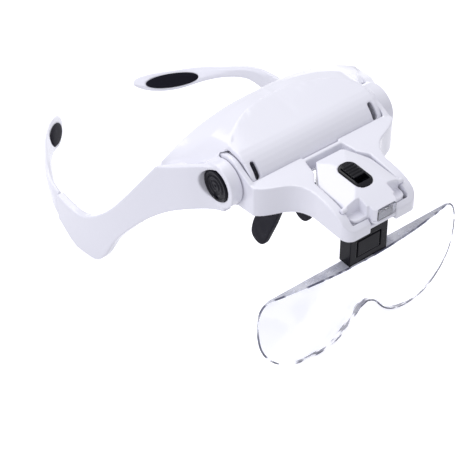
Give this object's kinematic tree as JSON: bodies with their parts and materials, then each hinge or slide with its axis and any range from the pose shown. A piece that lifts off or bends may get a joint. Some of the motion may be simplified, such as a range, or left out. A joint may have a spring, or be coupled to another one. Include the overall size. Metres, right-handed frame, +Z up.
{
  "type": "head visor magnifier",
  "caption": "Headband with a flip-up magnifying visor: brow shell, temples with fins, rear arms, nose pads, lamp on a bracket and a clip-on lens.",
  "frame": {"origin": "on the table under the middle of the bounding box", "axes": "+X to the wearer's left, +Y to the back of the head, +Z up"},
  "size_m": [0.1726, 0.2682, 0.1155],
  "materials": {
    "white_shell": "high gloss white injection-moulded ABS",
    "white_panel": "gloss white ABS panel, a shade greyer",
    "white_inner": "fine textured white ABS",
    "white_lamp": "gloss white ABS",
    "black_matt": "matt black nylon",
    "black_knob": "satin black acetal",
    "black_gloss": "gloss black ABS",
    "soft_black": "soft black silicone",
    "zinc_screw": "zinc-plated steel",
    "brass_nut": "turned brass",
    "washer": "plain nylon",
    "board": "green solder mask",
    "cell_steel": "nickel-plated steel",
    "spring_steel": "nickel-plated spring steel",
    "led_clear": "clear epoxy",
    "bright_cup": "vacuum metallised plastic",
    "clear_window": "clear polycarbonate",
    "clear_lens": "polished optical acrylic"
  },
  "bodies": {
    "frame": {"brow_frame": "white_shell", "front_panel": "white_panel", "brow_liner": "white_inner", "nose_holder": "black_matt", "liner_screws": "zinc_screw", "hinge_nut_left": "brass_nut", "hinge_nut_right": "brass_nut", "friction_washer_left": "washer", "friction_washer_right": "washer", "nose_pad_left": "soft_black", "nose_pad_right": "soft_black"},
    "bracket": {"visor_bracket": "white_shell", "lens_clip": "black_gloss"},
    "lamp": {"lamp_cover": "white_lamp", "lamp_base": "white_lamp", "switch_bezel": "black_gloss", "switch_body": "black_matt", "circuit_board": "board", "coin_cells": "cell_steel", "contact_plate": "spring_steel", "contact_spring": "spring_steel", "led_left": "led_clear", "led_right": "led_clear", "reflector": "bright_cup", "led_window": "clear_window", "lamp_screws": "zinc_screw"},
    "slider": {"switch_slider": "black_gloss"},
    "door": {"battery_door": "white_lamp"},
    "lens": {"lens": "clear_lens"},
    "tongue": {"snap_tongue": "black_gloss"},
    "knob_l": {"knob_left": "black_knob"},
    "knob_r": {"knob_right": "black_knob"},
    "arm_l": {"rear_arm_left": "white_shell", "rear_pad_left": "soft_black"},
    "arm_r": {"rear_arm_right": "white_shell", "rear_pad_right": "soft_black"}
  },
  "joints": [
    {"name": "bracket_tilt", "type": "hinge", "parent": "frame", "child": "bracket", "pos_m": [0, -0.06253, 0.09478], "axis": [-1, 0, 0], "range_deg": [-12, 50]},
    {"name": "lamp_tilt", "type": "hinge", "parent": "bracket", "child": "lamp", "pos_m": [0, -0.12163, 0.09788], "axis": [1, 0, 0], "range_deg": [0, 12]},
    {"name": "switch_slide", "type": "slide", "parent": "lamp", "child": "slider", "axis": [0, -1, 0], "range_m": [0, 0.0036]},
    {"name": "battery_door_slide", "type": "slide", "parent": "lamp", "child": "door", "axis": [0, 1, 0], "range_m": [0, 0.004]},
    {"name": "lens_slide", "type": "slide", "parent": "bracket", "child": "lens", "axis": [0, 0, -1], "range_m": [0, 0.015]},
    {"name": "clip_tongue_flex", "type": "hinge", "parent": "bracket", "child": "tongue", "pos_m": [0, -0.12163, 0.05918], "axis": [1, 0, 0], "range_deg": [0, 8], "stiffness_Nm_per_rad": 0.1},
    {"name": "knob_left_turn", "type": "hinge", "parent": "frame", "child": "knob_l", "pos_m": [0.056, -0.06253, 0.09478], "axis": [1, 0, 0], "range_deg": [-180, 180]},
    {"name": "knob_right_turn", "type": "hinge", "parent": "frame", "child": "knob_r", "pos_m": [-0.056, -0.06253, 0.09478], "axis": [1, 0, 0], "range_deg": [-180, 180]},
    {"name": "rear_arm_left_slide", "type": "slide", "parent": "frame", "child": "arm_l", "axis": [0, 1, 0], "range_m": [0, 0.01]},
    {"name": "rear_arm_right_slide", "type": "slide", "parent": "frame", "child": "arm_r", "axis": [0, 1, 0], "range_m": [0, 0.01]}
  ]
}
